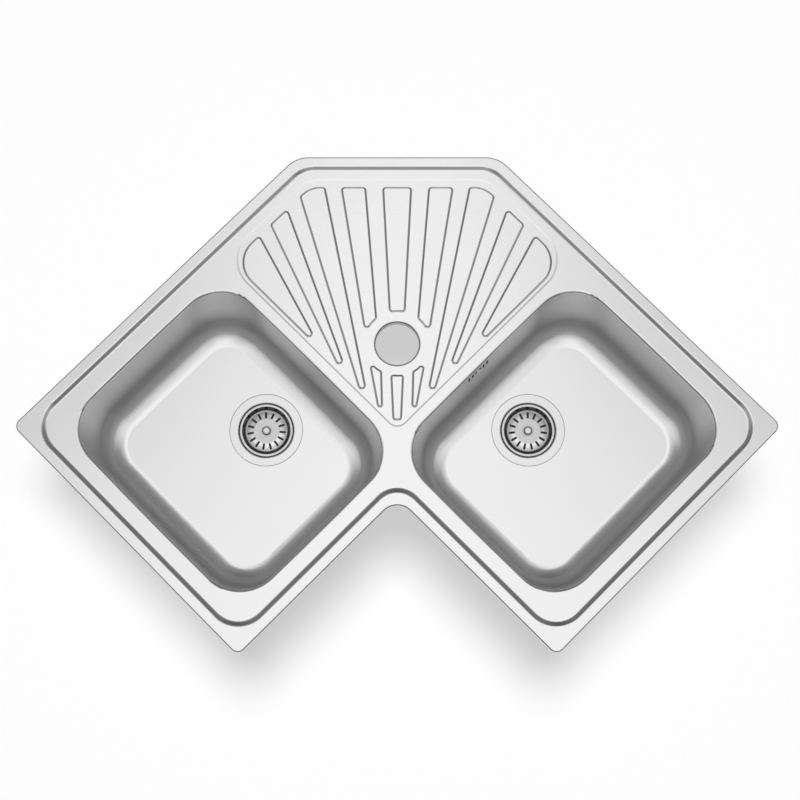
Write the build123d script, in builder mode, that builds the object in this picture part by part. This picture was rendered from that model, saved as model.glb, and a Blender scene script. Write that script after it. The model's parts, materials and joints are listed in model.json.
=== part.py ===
from build123d import *
import math
import os

# Corner kitchen sink: two arms at a right angle, a bowl in each arm and a ribbed drainer in the corner.
#
# Frame, in millimetres: the origin is on the axis of the tap hole, in the plane of the worktop.
# +X points right, +Y towards the cut-off back corner, +Z up.
# Most plan sizes are measured from the two walls: "along" is the distance along a wall from the corner where
# the walls meet, "out" is the distance from that wall into the room. side is -1 for the left arm, +1 for the
# right.

# %% Driving sizes of the pressed deck
sheet = 0.8  # stainless sheet
arm_length = 830.0  # along each wall
arm_depth = 493.3  # from the wall to the front edge
back_cut = 223.7  # along each wall, from the corner to the cut-off back edge
hole_from_corner = 457.0  # from the corner of the walls to the tap hole's axis
back_radius = 46.0  # plan radii of the outline
tip_radius = 13.0
notch_radius = 28.0

rim_height = 8.4  # top of the border above the worktop
edge_radius = 2.0  # rolled outer edge
step_drop = 4.6  # border down to the inner deck
step_outer = 16.5  # the sloped step, measured inwards from the outline
step_inner = 22.5
step_outer_back = 15.0
step_inner_back = 20.6
step_tip_radius = 50.0  # plan radii of the step's outer line
step_notch_radius = 36.0
step_round = 4.0  # rounding of the step's upper and lower bend

# %% Drainer panel and its ribs
panel_wall = 35.6  # panel's crease from the wall edges
panel_back = 34.4  # and from the back edge
panel_side = 421.0  # along the wall, where the panel ends beside a bowl
panel_drop = 0.35
panel_slope = 2.5
panel_back_radius = 50.0
panel_outer_radius = 55.0
panel_front_radius = 18.0

rib_height = 2.2
rib_slope = 3.2  # width of a rib's sloping side
rib_from_wall = 14.2  # ribs' mean outline inside the panel's crease
rib_from_side = 8.0
rib_back_radius = 40.0  # corners of that outline
rib_outer_radius = 43.0
rib_hole_gap = 14.5  # ribs' mean outline to the lip of the tap hole
rib_round = 4.6
rib_round_front = 3.2
rib_edge_round = 0.7

# Each rib lies between two straight lines. A line is given by its x on the left half at the rib's back end and
# at its front end. The ribs on the right half mirror these.
rib_back_y = 250.0
rib_front_y = -73.0
centre_rib = (22.0, 8.8)
hole_ribs = ((87.1, 50.0, 46.3, 29.3),)
long_ribs = ((156.0, 113.6, 57.2, 48.2), (225.6, 185.0, 72.7, 67.8), (330.0, 257.2, 120.0, 83.3))
front_rib_back_y = -33.0
front_rib_front_y = -133.0
front_centre_rib = (9.8, 5.2)
front_side_rib = (41.6, 25.05, 22.8, 22.2)

# %% Tap hole
hole_radius = 33.6
hole_lip = 3.0
hole_collar = 15.0  # from the panel's surface to the collar's lower edge

# %% Bowls
bowl_gap = 19.3  # from the panel's side to the bowl's wall
bowl_clear = 53.0  # from the other arm's front edge back to the bowl's inner side, at the least
wall_border = 54.4  # wall edge to the bowl's wall, at the top
end_border = 51.9
front_border = 50.4
bowl_depth = 150.0  # inner deck down to the bowl's floor
bowl_corner = 67.0  # in plan, at the top of the wall
bowl_foot_corner = 84.0  # in plan, at the floor's height
bowl_bow = 2.0  # outward bow of each side
bowl_lip = 4.0  # rounding from the deck into the bowl
lip_collar = 5.0  # from the inner deck to the weld under the lip
bowl_draft = 4.0  # degrees
floor_radius = 38.0

# %% Basket wastes, heights measured from the bowl's floor
waste_from_side = 108.0  # from the bowl's inner side to the waste's axis
waste_out = 251.0
flange_radius = 58.0
recess_gap = 0.6
gasket_thick = 1.2
gasket_inner = 47.0
gasket_edge = 1.0  # the gaskets end this far inside the flanges
waste_hole = 46.0
throat_radius = 44.25
throat_lip = 2.0
seat_depth = 13.5
seat_outer = 42.8
seat_bend = 1.0
sump_radius = 34.0
sump_depth = 24.0
sump_bend = 2.0
drain_hole = 5.0
drain_ring = 20.0
drain_holes = 6
body_gasket_thick = 3.0
body_flange = 4.0
body_bore = 46.2
body_wall = 2.6
body_depth = 41.0
body_bends = (6.0, 4.0)
outlet_radius = 23.9  # 1 1/2 inch male thread, drawn plain
outlet_top = 53.0
outlet_bottom = 80.0
outlet_chamfer = 1.2
spider_top = 34.0
spider_bottom = 40.0
spider_arm = 3.0
spider_arms = 3
spider_reach = 47.5
boss_radius = 7.0
boss_top = 30.0
boss_bottom = 44.0
screw_radius = 3.0
screw_head = 8.0
screw_head_height = 5.0
screw_slot = 1.6
screw_slot_depth = 1.5
screw_head_round = 1.0

basket_radius = 43.0
basket_top = 1.0
basket_lip = 2.4  # depth of the rim's outer edge
basket_wall_top = 38.6
basket_wall_foot = 34.7
basket_depth = 8.0
basket_floor_edge = 31.5
basket_centre = 20.0
basket_rise = 1.5
basket_bends = (1.5, 1.5, 3.0, 2.0, 2.0)
slot_count = 15
slot_inner = 20.6
slot_outer = 31.1
slot_width = 3.6
knob_radius = 6.9
knob_height = 4.0
knob_round = 2.0
post_radius = 2.5
post_foot = 22.5
post_in_knob = 3.0
post_collar = 5.0
post_collar_height = 0.7
stopper_radius = 39.0
stopper_hub = 12.0
running_gap = 0.06  # post in the stopper
guide_gap = 0.1  # post in the screw's head, and the clips' screws
rest_gap = 0.3  # stopper over its seat, basket over the stopper's hub, collar under the stopper
floor_gap = 0.4  # basket's floor over the stopper

# %% Overflow of the right bowl
overflow_out = 262.0
overflow_down = 22.0  # from the inner deck to the slots' middle
overflow_slots = (-19.75, -11.75, 11.75, 19.75)  # from the screw to each slot's middle
overflow_slot_width = 3.6
overflow_slot_height = 17.0
overflow_screw_radius = 2.5
overflow_screw_length = 16.0
overflow_head_radius = 7.0
overflow_head_height = 2.0
overflow_head_round = 1.2
overflow_drive = 1.6
overflow_drive_depth = 0.9
overflow_head_gap = 0.02
overflow_gasket_thick = 2.0
housing_width = 62.0
housing_height = 27.0
housing_depth = 24.0
housing_wall = 2.0
housing_corner = 8.0
housing_boss = 5.0
spigot_radius = 11.0
spigot_bore = 8.5
spigot_top = -25.0  # heights in the frame
spigot_bottom = -47.0
pipe_top = -33.6
pipe_along = 425.0
pipe_wall = 1.95
pipe_gap = 0.05
pipe_bend = 28.0
inlet_depth = 24.0  # below the bowl's floor
inlet_root = 46.3  # from the waste's axis
inlet_reach = 66.0
inlet_clear = 40.0
pipe_end = 52.0

# %% Rim seal, clips and pads
seal_from_edge = 3.0
seal_width = 9.0
clip_inset = 33.0  # clip's screw axis from the sink's edge
bracket_length = 24.0
bracket_width = 16.0
bracket_thick = 1.5
bracket_boss = 5.0
bracket_corner = 2.0
bracket_drop = 18.0  # lower end of the boss below the worktop plane
clip_screw = 2.5
clip_screw_top = 10.0  # depths below the worktop plane
clip_screw_bottom = 50.0
clip_head = 5.0
clip_head_height = 3.5
clip_head_round = 0.6
clip_hex = 2.3
clip_hex_depth = 2.0
claw_gap = 0.2
claw_thick = 2.5
claw_width = 14.0
claw_corner = 3.0
claw_reach = 29.0
claw_tail = 8.0
claw_toe = 4.0
claw_grip = 40.0  # thickest worktop
pad_share = 0.68  # of the room between the waste and the end wall
pad_width = 240.0
pad_thick = 3.0
pad_corner = 12.0
pad_from_waste = 16.0

# Each arm's clips: distances along and out from its wall, then the nearest edge's direction, along and out.
clip_places = (
    (436.0, clip_inset, 0, -1),
    (700.0, clip_inset, 0, -1),
    (arm_length - clip_inset, arm_depth / 2, 1, 0),
    (640.0, arm_depth - clip_inset, 0, 1),
)

# %% Heights and plan places that follow from the sizes
half_root = math.sqrt(0.5)
left, right = -1, 1
side_names = {left: "left", right: "right"}
slot_turns = {left: 11.3, right: 14.9}  # how far each basket lies turned, in degrees
deck_z = rim_height - step_drop
panel_z = deck_z - panel_drop
seam_z = deck_z - lip_collar
floor_z = deck_z - bowl_depth
bowl_start = max(panel_side + bowl_gap, arm_depth - bowl_clear)
bowl_length = arm_length - end_border - bowl_start
bowl_width = arm_depth - front_border - wall_border
bowl_along = bowl_start + bowl_length / 2
bowl_out = wall_border + bowl_width / 2
waste_along = bowl_start + waste_from_side
pad_start = waste_along + flange_radius + pad_from_waste
pad_length = pad_share * (arm_length - end_border - pad_start)
recess_depth = sheet + gasket_thick


def wall_point(side, along, out):
    """Plan point given by its distances along and out from that side's wall."""
    x = side * (along - out) * half_root
    y = hole_from_corner - (along + out) * half_root
    return x, y


def wall_plane(side, along, out, height):
    """Level plane at a plan point, its x axis running along the wall, away from the corner."""
    x, y = wall_point(side, along, out)
    return Plane(origin=(x, y, height), x_dir=(side * half_root, -half_root, 0), z_dir=(0, 0, 1))


def rounded_face(height, right_corners, on_axis, radii):
    """Level face from its right-hand corners, their mirror images and one corner on the axis, each rounded."""
    points = right_corners + [on_axis] + [(-x, y) for x, y in reversed(right_corners)]
    corner_radii = radii + radii[-2::-1]
    with BuildSketch(Plane.XY.offset(height)) as outline:
        with BuildLine():
            FilletPolyline(*points, radius=corner_radii, close=True)
        make_face()
    return outline.sketch


def sink_face(height, inset, back_inset, back_r, tip_r, notch_r):
    """Outline of the sink moved inwards, with its own plan radii."""
    back_sum = back_cut + back_inset / half_root
    corners = [
        wall_point(right, back_sum - inset, inset),
        wall_point(right, arm_length - inset, inset),
        wall_point(right, arm_length - inset, arm_depth - inset),
    ]
    notch = wall_point(right, arm_depth - inset, arm_depth - inset)
    return rounded_face(height, corners, notch, [back_r, tip_r, tip_r, notch_r])


def panel_face(height, wall_inset, side_inset, back_r, outer_r, front_r):
    """Outline of the drainer panel, moved inwards from its crease."""
    wall = panel_wall + wall_inset
    side = panel_side - side_inset
    back_sum = back_cut + (panel_back + wall_inset) / half_root
    corners = [wall_point(right, back_sum - wall, wall), wall_point(right, side, wall)]
    return rounded_face(height, corners, wall_point(right, side, side), [back_r, outer_r, front_r])


def bowl_face(side, height, grow, corner):
    """Plan of a bowl's wall, grown from its size at the top: four slightly bowed sides and round corners."""
    half_x = bowl_length / 2 + grow
    half_y = bowl_width / 2 + grow
    ends = [(half_x, half_y), (-half_x, half_y), (-half_x, -half_y), (half_x, -half_y)]
    with BuildSketch(wall_plane(side, bowl_along, bowl_out, height)) as outline:
        with BuildLine():
            for start, end in zip(ends, ends[1:] + ends[:1]):
                SagittaArc(start, end, -bowl_bow)
        make_face()
        fillet(outline.vertices(), corner)
    return outline.sketch


def rib_faces():
    """Mean outlines of all ribs: wedges cut to the panel's inset outline and to a circle round the tap hole."""
    inside = panel_face(0, rib_from_wall, rib_from_side, rib_back_radius, rib_outer_radius, panel_front_radius)
    keep_off = hole_radius + hole_lip + rib_hole_gap

    def wedge(back_y, front_y, back_a, back_b, front_a, front_b, rounding):
        with BuildSketch() as rib:
            with BuildLine():
                Polyline((back_a, back_y), (back_b, back_y), (front_b, front_y), (front_a, front_y), close=True)
            make_face()
            add(inside, mode=Mode.INTERSECT)
            Circle(keep_off, mode=Mode.SUBTRACT)
            offset(amount=-rounding, kind=Kind.INTERSECTION, mode=Mode.REPLACE)
            offset(amount=rounding, kind=Kind.ARC, mode=Mode.REPLACE)
        return rib.sketch

    back, front = centre_rib
    faces = [wedge(rib_back_y, 0, -back, back, -front, front, rib_round)]
    back, front = front_centre_rib
    faces.append(wedge(front_rib_back_y, front_rib_front_y, -back, back, -front, front, rib_round_front))
    for side in (left, right):
        for outer, inner, outer_front, inner_front in hole_ribs:
            xs = [side * x for x in (outer, inner, outer_front, inner_front)]
            faces.append(wedge(rib_back_y, 0, *xs, rib_round))
        for outer, inner, outer_front, inner_front in long_ribs:
            xs = [side * x for x in (outer, inner, outer_front, inner_front)]
            faces.append(wedge(rib_back_y, rib_front_y, *xs, rib_round))
        xs = [side * x for x in front_side_rib]
        faces.append(wedge(front_rib_back_y, front_rib_front_y, *xs, rib_round_front))
    return faces


def sunk_face(height, share):
    """Outline of the sloped step, from its outer line (share 0) to its inner line (share 1)."""
    inset = step_outer + share * (step_inner - step_outer)
    back = step_outer_back + share * (step_inner_back - step_outer_back)
    grown = share * (step_inner - step_outer)
    return sink_face(height, inset, back, back_radius, step_tip_radius - grown, step_notch_radius + grown)


def sunk_panel(height, share):
    """Outline of the drainer panel's slope, from its crease (share 0) to its foot (share 1)."""
    inset = share * panel_slope
    radii = (panel_back_radius, panel_outer_radius - inset, panel_front_radius - inset)
    return panel_face(height, inset, inset, *radii)


def beside_bowl(point):
    """True where a point lies on the rounded outline of either bowl's mouth."""
    reach = bowl_lip + bowl_bow + sheet
    for side in (left, right):
        local = wall_plane(side, bowl_along, bowl_out, 0).to_local_coords(point)
        outside = max(abs(local.X) - bowl_length / 2, abs(local.Y) - bowl_width / 2)
        if -bowl_corner < outside < reach:
            return True
    return False


def rib_solid(mean_face, base_height):
    """Raised rib with sloping sides, its mean outline at half its height."""
    outlines = []
    for height, grow in ((base_height, rib_slope / 2), (base_height + rib_height, -rib_slope / 2)):
        with BuildSketch(Plane.XY.offset(height)) as outline:
            add(mean_face)
            offset(amount=grow, kind=Kind.ARC, mode=Mode.REPLACE)
        outlines.append(outline.sketch)
    with BuildPart() as rib:
        loft(outlines, ruled=True)
        fillet(rib.edges().group_by(Axis.Z)[-1], rib_edge_round)
    return rib.part


def bowl_form(side, grow):
    """Solid of a bowl's inside (grow 0) or outside (grow one sheet), without its waste."""
    foot_z = floor_z - grow
    inset = (seam_z - foot_z) * math.tan(math.radians(bowl_draft))
    mouth = bowl_face(side, seam_z, grow, bowl_corner + grow)
    foot = bowl_face(side, foot_z, grow - inset, bowl_foot_corner + grow)
    with BuildPart() as form:
        loft([mouth, foot], ruled=True)
        fillet(form.edges().group_by(Axis.Z)[0], floor_radius + grow)
    return form.part


def waste_plane(side, depth):
    """Level plane at a waste's axis, a depth below the bowl's floor."""
    return wall_plane(side, waste_along, waste_out, floor_z - depth)


def waste_section(side):
    """Upright plane through a waste's axis: x is the radius, y the height above the bowl's floor."""
    x, y = wall_point(side, waste_along, waste_out)
    return Plane(origin=(x, y, floor_z), x_dir=(1, 0, 0), z_dir=(0, -1, 0))


def waste_axis(side):
    x, y = wall_point(side, waste_along, waste_out)
    return Axis((x, y, 0), (0, 0, 1))


def overflow_plane(behind):
    """Plane along the right bowl's inner end wall: x level, y up the wall, z pointing behind the wall."""
    draft = math.radians(bowl_draft)
    height = deck_z - overflow_down
    bow_here = bowl_bow * (1 - ((overflow_out - bowl_out) / (bowl_width / 2)) ** 2)
    wall = bowl_start - bow_here - sheet + (seam_z - height) * math.tan(draft)
    x, y = wall_point(right, wall, overflow_out)
    back = Vector(-half_root * math.cos(draft), half_root * math.cos(draft), -math.sin(draft))
    return Plane(origin=Vector(x, y, height) + back * behind, x_dir=(-half_root, -half_root, 0), z_dir=back)


def inlet_plane(reach):
    """Upright plane across the overflow's inlet into the right waste, at a distance from the waste's axis."""
    waste = Vector(*wall_point(right, waste_along, waste_out), floor_z - inlet_depth)
    corner = Vector(*wall_point(right, pipe_along, overflow_out), floor_z - inlet_depth)
    towards = (corner - waste).normalized()
    return Plane(origin=waste + towards * reach, z_dir=towards)


def clip_plane(side, place, height):
    """Level plane at a clip's screw, its x axis pointing at the nearest edge of the sink."""
    along, out, to_end, to_front = place
    x, y = wall_point(side, along, out)
    to_edge = (side * (to_end - to_front), -to_end - to_front, 0)
    return Plane(origin=(x, y, height), x_dir=to_edge, z_dir=(0, 0, 1))


# %% Pressed deck with the drainer and the tap hole
os.makedirs("parts", exist_ok=True)

with BuildPart() as deck:
    extrude(sink_face(0, 0, 0, back_radius, tip_radius, notch_radius), amount=rim_height)
    hollow_radii = (back_radius - sheet, tip_radius - sheet, notch_radius + sheet)
    extrude(sink_face(0, sheet, sheet, *hollow_radii), amount=rim_height - sheet, mode=Mode.SUBTRACT)
    fillet(deck.edges().filter_by_position(Axis.Z, rim_height - sheet, rim_height - sheet), edge_radius - sheet)
    fillet(deck.edges().filter_by_position(Axis.Z, rim_height, rim_height), edge_radius)

    # The inner deck is pressed down: each hollow takes away what the same form, one sheet lower, has added.
    loft([sunk_face(deck_z - sheet, 1), sunk_face(rim_height - sheet, 0)], ruled=True)
    loft([sunk_face(deck_z, 1), sunk_face(rim_height, 0)], ruled=True, mode=Mode.SUBTRACT)
    border = deck.faces().filter_by(Axis.Z).sort_by(Axis.Z)[-1]
    fillet(border.inner_wires()[0].edges(), step_round)
    fillet(deck.edges().filter_by_position(Axis.Z, deck_z, deck_z), step_round)

    # Rounded lips turn down into the bowls and end at the weld.
    for side in (left, right):
        extrude(bowl_face(side, seam_z, sheet, bowl_corner + sheet), amount=lip_collar - sheet)
    under_lip = deck.edges().filter_by_position(Axis.Z, deck_z - sheet, deck_z - sheet)
    fillet([edge for edge in under_lip if beside_bowl(edge.center())], bowl_lip - sheet)
    for side in (left, right):
        extrude(bowl_face(side, seam_z, 0, bowl_corner), amount=lip_collar, mode=Mode.SUBTRACT)
    lips = deck.edges().filter_by_position(Axis.Z, deck_z, deck_z)
    fillet([edge for edge in lips if beside_bowl(edge.center())], bowl_lip)

    loft([sunk_panel(panel_z - sheet, 1), sunk_panel(deck_z - sheet, 0)], ruled=True)
    loft([sunk_panel(panel_z, 1), sunk_panel(deck_z, 0)], ruled=True, mode=Mode.SUBTRACT)
    for mean_face in rib_faces():
        add(rib_solid(mean_face, panel_z))
        add(rib_solid(mean_face, panel_z - sheet), mode=Mode.SUBTRACT)

    with BuildSketch(Plane.XY.offset(panel_z)):
        Circle(hole_radius + hole_lip)
    extrude(amount=-rim_height, mode=Mode.SUBTRACT)
    lip_low = panel_z - hole_lip
    collar_low = panel_z - hole_collar
    with BuildSketch(Plane.XZ):
        with BuildLine():
            lip_arc = RadiusArc((hole_radius + hole_lip, panel_z), (hole_radius, lip_low), -hole_lip)
            outside = hole_radius + sheet
            Polyline(lip_arc @ 1, (hole_radius, collar_low), (outside, collar_low), (outside, lip_low))
            under_lip_end = (hole_radius + hole_lip, panel_z - sheet)
            under_arc = RadiusArc((outside, lip_low), under_lip_end, hole_lip - sheet)
            Line(under_arc @ 1, lip_arc @ 0)
        make_face()
    revolve(axis=Axis.Z)
deck.part.label = "deck"
export_step(deck.part, "parts/deck.step")

# %% Foam seal under the border
with BuildPart() as rim_seal:
    outer_radii = (back_radius - seal_from_edge, tip_radius - seal_from_edge, notch_radius + seal_from_edge)
    seal_end = seal_from_edge + seal_width
    inner_radii = (back_radius - seal_end, step_tip_radius - step_outer, notch_radius + seal_end)
    extrude(sink_face(0, seal_from_edge, seal_from_edge, *outer_radii), amount=rim_height - sheet)
    extrude(sink_face(0, seal_end, seal_end, *inner_radii), amount=rim_height - sheet, mode=Mode.SUBTRACT)
rim_seal.part.label = "rim_seal"
export_step(rim_seal.part, "parts/rim_seal.step")

# %% Clips under the edge, four to each arm
with BuildPart() as clip_brackets:
    for side in (left, right):
        for place in clip_places:
            with BuildSketch(clip_plane(side, place, deck_z - sheet)):
                RectangleRounded(bracket_width, bracket_length, bracket_corner)
            extrude(amount=-bracket_thick)
            with BuildSketch(clip_plane(side, place, -bracket_drop)):
                Circle(bracket_boss)
            extrude(amount=bracket_drop + deck_z - sheet - bracket_thick)
            with BuildSketch(clip_plane(side, place, -bracket_drop)):
                Circle(clip_screw + guide_gap)
            extrude(amount=bracket_drop + deck_z, mode=Mode.SUBTRACT)
clip_brackets.part.label = "clip_brackets"
export_step(clip_brackets.part, "parts/clip_brackets.step")

claw_bottom = clip_screw_bottom - clip_head_height - claw_gap
clip_number = 0
for side in (left, right):
    for place in clip_places:
        clip_number += 1
        with BuildPart() as clip_screw_part:
            with BuildSketch(clip_plane(side, place, -clip_screw_bottom)):
                Circle(clip_head)
            extrude(amount=clip_head_height)
            fillet(clip_screw_part.edges().group_by(Axis.Z)[0], clip_head_round)
            with BuildSketch(clip_plane(side, place, -clip_screw_bottom)):
                Circle(clip_screw)
            extrude(amount=clip_screw_bottom - clip_screw_top)
            with BuildSketch(clip_plane(side, place, -clip_screw_bottom)):
                RegularPolygon(clip_hex, 6)
            extrude(amount=clip_hex_depth, mode=Mode.SUBTRACT)
        clip_screw_part.part.label = f"clip_screw_{clip_number}"
        export_step(clip_screw_part.part, f"parts/clip_screw_{clip_number}.step")

        with BuildPart() as clip_claw:
            with BuildSketch(clip_plane(side, place, -claw_bottom)):
                with Locations(((claw_reach - claw_tail) / 2, 0)):
                    RectangleRounded(claw_reach + claw_tail, claw_width, claw_corner)
            extrude(amount=claw_thick)
            with BuildSketch(clip_plane(side, place, -claw_bottom)):
                with Locations((claw_reach - claw_toe / 2, 0)):
                    Rectangle(claw_toe, claw_width - 2 * claw_corner)
            extrude(amount=claw_bottom - claw_grip)
            with BuildSketch(clip_plane(side, place, -claw_bottom)):
                Circle(clip_screw + guide_gap)
            extrude(amount=claw_thick, mode=Mode.SUBTRACT)
        clip_claw.part.label = f"clip_claw_{clip_number}"
        export_step(clip_claw.part, f"parts/clip_claw_{clip_number}.step")

# %% Bowls, each with its basket waste and its damping pad
body_top = recess_depth + sheet + body_gasket_thick
outlet_bore = outlet_radius - body_wall
basket_floor = basket_top + basket_depth
centre_depth = basket_floor - basket_rise
stopper_foot = seat_depth - rest_gap
stopper_top = basket_floor + sheet + floor_gap
hub_top = centre_depth + sheet + rest_gap
collar_top = stopper_foot + rest_gap

for side in (left, right):
    name = side_names[side]
    with BuildPart() as bowl:
        add(bowl_form(side, sheet))
        add(bowl_form(side, 0), mode=Mode.SUBTRACT)
        with BuildSketch(waste_plane(side, recess_depth + sheet)):
            Circle(flange_radius + recess_gap + sheet)
        extrude(amount=recess_depth)
        with BuildSketch(waste_plane(side, recess_depth)):
            Circle(flange_radius + recess_gap)
        extrude(amount=recess_depth, mode=Mode.SUBTRACT)
        with BuildSketch(waste_plane(side, recess_depth + sheet)):
            Circle(waste_hole)
        extrude(amount=recess_depth + sheet, mode=Mode.SUBTRACT)
        if side == right:
            with BuildSketch(overflow_plane(0)):
                with Locations(*[(x, 0) for x in overflow_slots]):
                    SlotOverall(overflow_slot_height, overflow_slot_width, rotation=90)
                Circle(overflow_screw_radius)
            extrude(amount=2 * sheet, both=True, mode=Mode.SUBTRACT)
    bowl.part.label = f"{name}_bowl"
    export_step(bowl.part, f"parts/{name}_bowl.step")

    with BuildPart() as damping_pad:
        pad_along = pad_start + pad_length / 2
        with BuildSketch(wall_plane(side, pad_along, bowl_out, floor_z - sheet)):
            RectangleRounded(pad_length, pad_width, pad_corner)
        extrude(amount=-pad_thick)
    damping_pad.part.label = f"{name}_damping_pad"
    export_step(damping_pad.part, f"parts/{name}_damping_pad.step")

    with BuildPart() as flange:
        with BuildSketch(waste_section(side)):
            with BuildLine():
                FilletPolyline(
                    (flange_radius, 0),
                    (throat_radius, 0),
                    (seat_outer, -seat_depth),
                    (sump_radius, -seat_depth),
                    (sump_radius, -sump_depth),
                    (screw_radius, -sump_depth),
                    radius=[throat_lip, seat_bend, seat_bend, sump_bend],
                )
                offset(amount=sheet, side=Side.LEFT)
            make_face()
        revolve(axis=waste_axis(side))
        with BuildSketch(waste_plane(side, sump_depth + sheet)):
            with PolarLocations(drain_ring, drain_holes):
                Circle(drain_hole)
        extrude(amount=2 * sheet, mode=Mode.SUBTRACT)
    flange.part.label = f"{name}_waste_flange"
    export_step(flange.part, f"parts/{name}_waste_flange.step")

    with BuildPart() as flange_gasket:
        with BuildSketch(waste_plane(side, recess_depth)):
            Circle(flange_radius - gasket_edge)
            Circle(gasket_inner, mode=Mode.SUBTRACT)
        extrude(amount=gasket_thick)
    flange_gasket.part.label = f"{name}_flange_gasket"
    export_step(flange_gasket.part, f"parts/{name}_flange_gasket.step")

    with BuildPart() as body_gasket:
        with BuildSketch(waste_plane(side, body_top)):
            Circle(flange_radius - gasket_edge)
            Circle(gasket_inner, mode=Mode.SUBTRACT)
        extrude(amount=body_gasket_thick)
    body_gasket.part.label = f"{name}_body_gasket"
    export_step(body_gasket.part, f"parts/{name}_body_gasket.step")

    with BuildPart() as body:
        with BuildSketch(waste_section(side)):
            with BuildLine():
                FilletPolyline(
                    (body_bore, -body_top),
                    (body_bore, -body_depth),
                    (outlet_bore, -outlet_top),
                    (outlet_bore, -outlet_bottom),
                    radius=list(body_bends),
                )
                offset(amount=body_wall, side=Side.LEFT)
            make_face()
        revolve(axis=waste_axis(side))
        with BuildSketch(waste_plane(side, body_top + body_flange)):
            Circle(flange_radius)
            Circle(body_bore, mode=Mode.SUBTRACT)
        extrude(amount=body_flange)
        tail_edges = body.edges().filter_by(GeomType.CIRCLE).group_by(Axis.Z)[0]
        chamfer(tail_edges.sort_by(SortBy.RADIUS)[-1], outlet_chamfer)
        with BuildSketch(waste_plane(side, spider_bottom)):
            with PolarLocations(spider_reach / 2, spider_arms):
                Rectangle(spider_reach, spider_arm)
        extrude(amount=spider_bottom - spider_top)
        with BuildSketch(waste_plane(side, boss_bottom)):
            Circle(boss_radius)
        extrude(amount=boss_bottom - boss_top)
        with BuildSketch(waste_plane(side, boss_bottom)):
            Circle(screw_radius)
        extrude(amount=boss_bottom - boss_top, mode=Mode.SUBTRACT)
        if side == right:
            with BuildSketch(inlet_plane(inlet_root)):
                Circle(spigot_radius)
            extrude(amount=inlet_reach - inlet_root)
            with BuildSketch(inlet_plane(inlet_clear)):
                Circle(spigot_bore)
            extrude(amount=inlet_reach - inlet_clear, mode=Mode.SUBTRACT)
    body.part.label = f"{name}_waste_body"
    export_step(body.part, f"parts/{name}_waste_body.step")

    with BuildPart() as waste_screw:
        with BuildSketch(waste_plane(side, sump_depth)):
            Circle(screw_head)
        extrude(amount=screw_head_height)
        fillet(waste_screw.edges().group_by(Axis.Z)[-1], screw_head_round)
        with BuildSketch(waste_plane(side, boss_bottom)):
            Circle(screw_radius)
        extrude(amount=boss_bottom - sump_depth)
        screw_top = sump_depth - screw_head_height
        with BuildSketch(waste_plane(side, screw_top)):
            Rectangle(2 * screw_head, screw_slot)
        extrude(amount=-screw_slot_depth, mode=Mode.SUBTRACT)
        with BuildSketch(waste_plane(side, screw_top)):
            Circle(post_radius + guide_gap)
        extrude(amount=screw_top - post_foot - rest_gap, mode=Mode.SUBTRACT)
    waste_screw.part.label = f"{name}_waste_screw"
    export_step(waste_screw.part, f"parts/{name}_waste_screw.step")

    with BuildPart() as basket:
        with BuildSketch(waste_section(side)):
            with BuildLine():
                FilletPolyline(
                    (basket_radius, -basket_top - basket_lip),
                    (basket_radius, -basket_top),
                    (basket_wall_top, -basket_top),
                    (basket_wall_foot, -basket_floor),
                    (basket_floor_edge, -basket_floor),
                    (basket_centre, -centre_depth),
                    (post_radius, -centre_depth),
                    radius=list(basket_bends),
                )
                offset(amount=sheet, side=Side.LEFT)
            make_face()
        revolve(axis=waste_axis(side))
        with BuildSketch(waste_plane(side, basket_floor + sheet)):
            with PolarLocations((slot_inner + slot_outer) / 2, slot_count, slot_turns[side]):
                SlotOverall(slot_outer - slot_inner, slot_width)
        extrude(amount=basket_depth, mode=Mode.SUBTRACT)
    basket.part.label = f"{name}_basket"
    export_step(basket.part, f"parts/{name}_basket.step")

    with BuildPart() as knob:
        with BuildSketch(waste_plane(side, centre_depth)):
            Circle(knob_radius)
        extrude(amount=knob_height)
        fillet(knob.edges().group_by(Axis.Z)[-1], knob_round)
        with BuildSketch(waste_plane(side, centre_depth)):
            Circle(post_radius)
        extrude(amount=post_in_knob, mode=Mode.SUBTRACT)
    knob.part.label = f"{name}_basket_knob"
    export_step(knob.part, f"parts/{name}_basket_knob.step")

    with BuildPart() as post:
        with BuildSketch(waste_plane(side, post_foot)):
            Circle(post_radius)
        extrude(amount=post_foot - centre_depth + post_in_knob)
        with BuildSketch(waste_plane(side, collar_top)):
            Circle(post_collar)
        extrude(amount=-post_collar_height)
    post.part.label = f"{name}_basket_post"
    export_step(post.part, f"parts/{name}_basket_post.step")

    with BuildPart() as stopper:
        with BuildSketch(waste_plane(side, stopper_foot)):
            Circle(stopper_radius)
        extrude(amount=stopper_foot - stopper_top)
        with BuildSketch(waste_plane(side, stopper_foot)):
            Circle(stopper_hub)
        extrude(amount=stopper_foot - hub_top)
        with BuildSketch(waste_plane(side, stopper_foot)):
            Circle(post_radius + running_gap)
        extrude(amount=stopper_foot - hub_top, mode=Mode.SUBTRACT)
    stopper.part.label = f"{name}_stopper"
    export_step(stopper.part, f"parts/{name}_stopper.step")

# %% Overflow behind the right bowl's inner end wall
with BuildPart() as overflow_gasket:
    with BuildSketch(overflow_plane(overflow_gasket_thick)):
        RectangleRounded(housing_width, housing_height, housing_corner)
        offset(amount=-housing_wall, mode=Mode.SUBTRACT)
    extrude(amount=-overflow_gasket_thick - sheet)
    add(bowl_form(right, sheet), mode=Mode.SUBTRACT)
overflow_gasket.part.label = "overflow_gasket"
export_step(overflow_gasket.part, "parts/overflow_gasket.step")

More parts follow.
